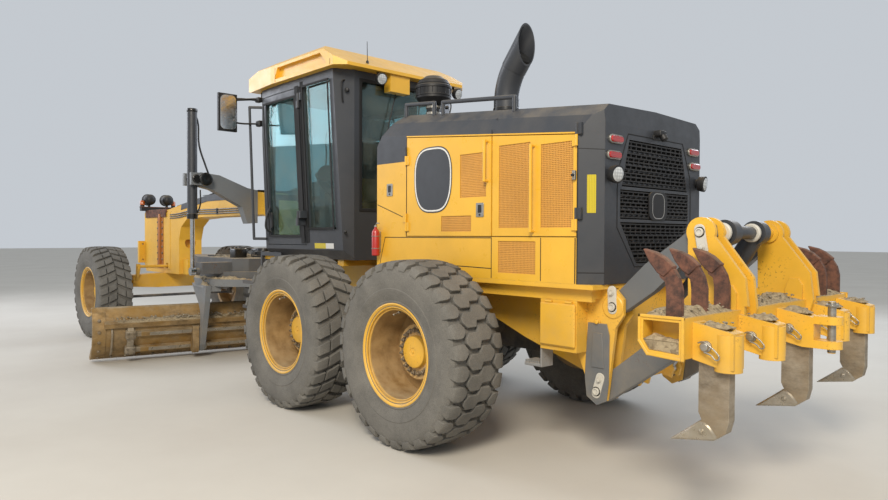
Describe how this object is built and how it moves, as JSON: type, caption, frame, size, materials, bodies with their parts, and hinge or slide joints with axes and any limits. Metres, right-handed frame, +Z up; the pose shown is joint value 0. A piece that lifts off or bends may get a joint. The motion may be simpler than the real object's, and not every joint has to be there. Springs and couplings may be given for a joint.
{
  "type": "motor grader",
  "caption": "Articulated motor grader with a blade on a turning circle, an enclosed cab over the hitch, tandem rear wheels and a parallelogram ripper.",
  "frame": {"origin": "on the ground, under the middle of the machine's box", "axes": "+X forward, +Y to the driver's left, +Z up"},
  "size_m": [10.21, 3.7238, 3.19],
  "materials": {
    "frame_paint": "dusty yellow enamel",
    "hood_paint": "yellow enamel",
    "dark_paint": "satin charcoal paint",
    "grey_paint": "satin grey paint",
    "tyre_rubber": "dusty rubber",
    "rim_paint": "yellow enamel with dust",
    "worn_steel": "worn dusty steel",
    "rusty_steel": "rust",
    "bright_rod": "hard chrome",
    "window_glass": "tinted glass",
    "lamp_red": "red lens",
    "black_plastic": "moulded",
    "red_paint": "red enamel",
    "roof_paint": "yellow enamel"
  },
  "bodies": {
    "rear": {"rear_frame": "frame_paint", "ripper_lugs": "frame_paint", "rear_axle": "dark_paint", "tandem_cases": "dark_paint", "hood": "hood_paint", "hood_cap": "dark_paint", "hood_tail": "dark_paint", "engine": "dark_paint", "exhaust_stack": "dark_paint", "air_cleaner": "black_plastic", "side_boxes": "frame_paint", "hood_rails": "dark_paint", "rear_lamps": "lamp_red", "extinguisher": "red_paint"},
    "engine_door_front_left": {"hood_door_front_left": "hood_paint"},
    "engine_door_front_right": {"hood_door_front_right": "hood_paint"},
    "engine_door_rear_left": {"hood_door_rear_left": "hood_paint"},
    "engine_door_rear_right": {"hood_door_rear_right": "hood_paint"},
    "front": {"front_frame": "frame_paint", "front_axle": "frame_paint", "cab_body": "dark_paint", "cab_roof": "roof_paint", "cab_glass": "window_glass", "cab_interior": "black_plastic", "lift_arms": "grey_paint", "lift_barrels": "dark_paint", "steps_and_rails": "dark_paint", "mirrors": "black_plastic", "head_lamps": "black_plastic"},
    "door_left": {"cab_door_left": "dark_paint", "cab_door_glass_left": "window_glass"},
    "door_right": {"cab_door_right": "dark_paint", "cab_door_glass_right": "window_glass"},
    "steering_left": {"knuckle_left": "dark_paint"},
    "steering_right": {"knuckle_right": "dark_paint"},
    "steering_rod": {"tie_rod": "dark_paint"},
    "drawbar_body": {"drawbar": "grey_paint"},
    "rods": {"lift_rods": "bright_rod"},
    "circle_body": {"blade_circle": "grey_paint"},
    "tilt": {"tilt_frame": "worn_steel"},
    "blade": {"moldboard": "worn_steel"},
    "lower_links": {"ripper_lower_links": "grey_paint"},
    "upper_links": {"ripper_upper_links": "grey_paint"},
    "ripper": {"ripper_beam": "frame_paint", "ripper_shanks": "worn_steel", "scarifier_teeth": "rusty_steel"},
    "ripper_cylinders": {"ripper_barrels": "dark_paint"},
    "ripper_cylinder_rods": {"ripper_rods": "bright_rod"},
    "wheel_rear_left": {"rim_rear_left": "rim_paint", "tyre_rear_left": "tyre_rubber"},
    "wheel_rear_right": {"rim_rear_right": "rim_paint", "tyre_rear_right": "tyre_rubber"},
    "wheel_mid_left": {"rim_mid_left": "rim_paint", "tyre_mid_left": "tyre_rubber"},
    "wheel_mid_right": {"rim_mid_right": "rim_paint", "tyre_mid_right": "tyre_rubber"},
    "wheel_front_left": {"rim_front_left": "rim_paint", "tyre_front_left": "tyre_rubber"},
    "wheel_front_right": {"rim_front_right": "rim_paint", "tyre_front_right": "tyre_rubber"}
  },
  "joints": [
    {"name": "wheel_rear_left_spin", "type": "hinge", "parent": "rear", "child": "wheel_rear_left", "pos_m": [-2.715, 1.04, 0.64926], "axis": [0, 1, 0], "continuous": true},
    {"name": "wheel_rear_right_spin", "type": "hinge", "parent": "rear", "child": "wheel_rear_right", "pos_m": [-2.715, -1.04, 0.64926], "axis": [0, 1, 0], "continuous": true},
    {"name": "wheel_mid_left_spin", "type": "hinge", "parent": "rear", "child": "wheel_mid_left", "pos_m": [-1.175, 1.04, 0.64926], "axis": [0, 1, 0], "continuous": true},
    {"name": "wheel_mid_right_spin", "type": "hinge", "parent": "rear", "child": "wheel_mid_right", "pos_m": [-1.175, -1.04, 0.64926], "axis": [0, 1, 0], "continuous": true},
    {"name": "articulation", "type": "hinge", "parent": "rear", "child": "front", "pos_m": [-1.445, 0, 0.9], "axis": [0, 0, 1], "range_deg": [-22, 22]},
    {"name": "steer_left", "type": "hinge", "parent": "front", "child": "steering_left", "pos_m": [4.255, 0.78, 0.64926], "axis": [0, 0, -1], "range_deg": [-45, 45]},
    {"name": "wheel_front_left_spin", "type": "hinge", "parent": "steering_left", "child": "wheel_front_left", "pos_m": [4.255, 1.04, 0.64926], "axis": [0, 1, 0], "continuous": true},
    {"name": "steer_right", "type": "hinge", "parent": "front", "child": "steering_right", "pos_m": [4.255, -0.78, 0.64926], "axis": [0, 0, -1], "range_deg": [-45, 45]},
    {"name": "wheel_front_right_spin", "type": "hinge", "parent": "steering_right", "child": "wheel_front_right", "pos_m": [4.255, -1.04, 0.64926], "axis": [0, 1, 0], "continuous": true},
    {"name": "tie_rod_turn", "type": "hinge", "parent": "steering_left", "child": "steering_rod", "pos_m": [4.025, 0.78, 0.64926], "axis": [0, 0, -1], "range_deg": [-45, 45]},
    {"name": "cab_door_left_open", "type": "hinge", "parent": "front", "child": "door_left", "pos_m": [-0.612, 0.73, 2], "axis": [0, 0, 1], "range_deg": [0, 95]},
    {"name": "front_engine_door_left_open", "type": "hinge", "parent": "rear", "child": "engine_door_front_left", "pos_m": [-2.198, 0.71, 1.8], "axis": [0, 0, -1], "range_deg": [0, 100]},
    {"name": "rear_engine_door_left_open", "type": "hinge", "parent": "rear", "child": "engine_door_rear_left", "pos_m": [-3.832, 0.71, 1.8], "axis": [0, 0, 1], "range_deg": [0, 100]},
    {"name": "cab_door_right_open", "type": "hinge", "parent": "front", "child": "door_right", "pos_m": [-0.612, -0.73, 2], "axis": [0, 0, -1], "range_deg": [0, 95]},
    {"name": "front_engine_door_right_open", "type": "hinge", "parent": "rear", "child": "engine_door_front_right", "pos_m": [-2.198, -0.71, 1.8], "axis": [0, 0, 1], "range_deg": [0, 100]},
    {"name": "rear_engine_door_right_open", "type": "hinge", "parent": "rear", "child": "engine_door_rear_right", "pos_m": [-3.832, -0.71, 1.8], "axis": [0, 0, -1], "range_deg": [0, 100]},
    {"name": "blade_lift", "type": "hinge", "parent": "front", "child": "drawbar_body", "pos_m": [3.535, 0, 1], "axis": [0, 1, 0], "range_deg": [-12, 10]},
    {"name": "lift_rod_slide", "type": "slide", "parent": "front", "child": "rods", "axis": [0, 0, 1], "range_m": [-0.5, 0.5]},
    {"name": "circle_turn", "type": "hinge", "parent": "drawbar_body", "child": "circle_body", "pos_m": [1.555, 0, 0.87], "axis": [0, 0, 1], "continuous": true},
    {"name": "blade_pitch", "type": "hinge", "parent": "circle_body", "child": "tilt", "pos_m": [1.49633, 0.01035, 0.13492], "axis": [0.1736, 0.9848, 0], "range_deg": [-5, 35]},
    {"name": "blade_side_shift", "type": "slide", "parent": "tilt", "child": "blade", "axis": [0.1736, 0.9848, 0], "range_m": [-0.55, 0.55]},
    {"name": "ripper_lift", "type": "hinge", "parent": "rear", "child": "lower_links", "pos_m": [-3.875, 0, 0.49], "axis": [0, -1, 0], "range_deg": [0, 62]},
    {"name": "ripper_upper_link_turn", "type": "hinge", "parent": "rear", "child": "upper_links", "pos_m": [-3.985, 0, 1.03], "axis": [0, -1, 0], "range_deg": [0, 62]},
    {"name": "ripper_beam_turn", "type": "hinge", "parent": "lower_links", "child": "ripper", "pos_m": [-4.435, 0, 0.95], "axis": [0, -1, 0], "range_deg": [-62, 0]},
    {"name": "ripper_cylinder_turn", "type": "hinge", "parent": "ripper", "child": "ripper_cylinders", "pos_m": [-4.545, 0, 1.49], "axis": [0, -1, 0], "range_deg": [0, 43.5]},
    {"name": "ripper_rod_slide", "type": "slide", "parent": "ripper_cylinders", "child": "ripper_cylinder_rods", "axis": [0.5292, 0, -0.8485], "range_m": [-0.39, 0]}
  ],
  "couplings": [
    {"joint": "steer_right", "follows": "steer_left", "ratio": 1},
    {"joint": "tie_rod_turn", "follows": "steer_left", "ratio": -1},
    {"joint": "lift_rod_slide", "follows": "blade_lift", "m_per_rad": 2.22},
    {"joint": "ripper_upper_link_turn", "follows": "ripper_lift", "ratio": 1},
    {"joint": "ripper_beam_turn", "follows": "ripper_lift", "ratio": -1},
    {"joint": "ripper_cylinder_turn", "follows": "ripper_lift", "ratio": 0.686},
    {"joint": "ripper_rod_slide", "follows": "ripper_lift", "m_per_rad": -0.352}
  ]
}
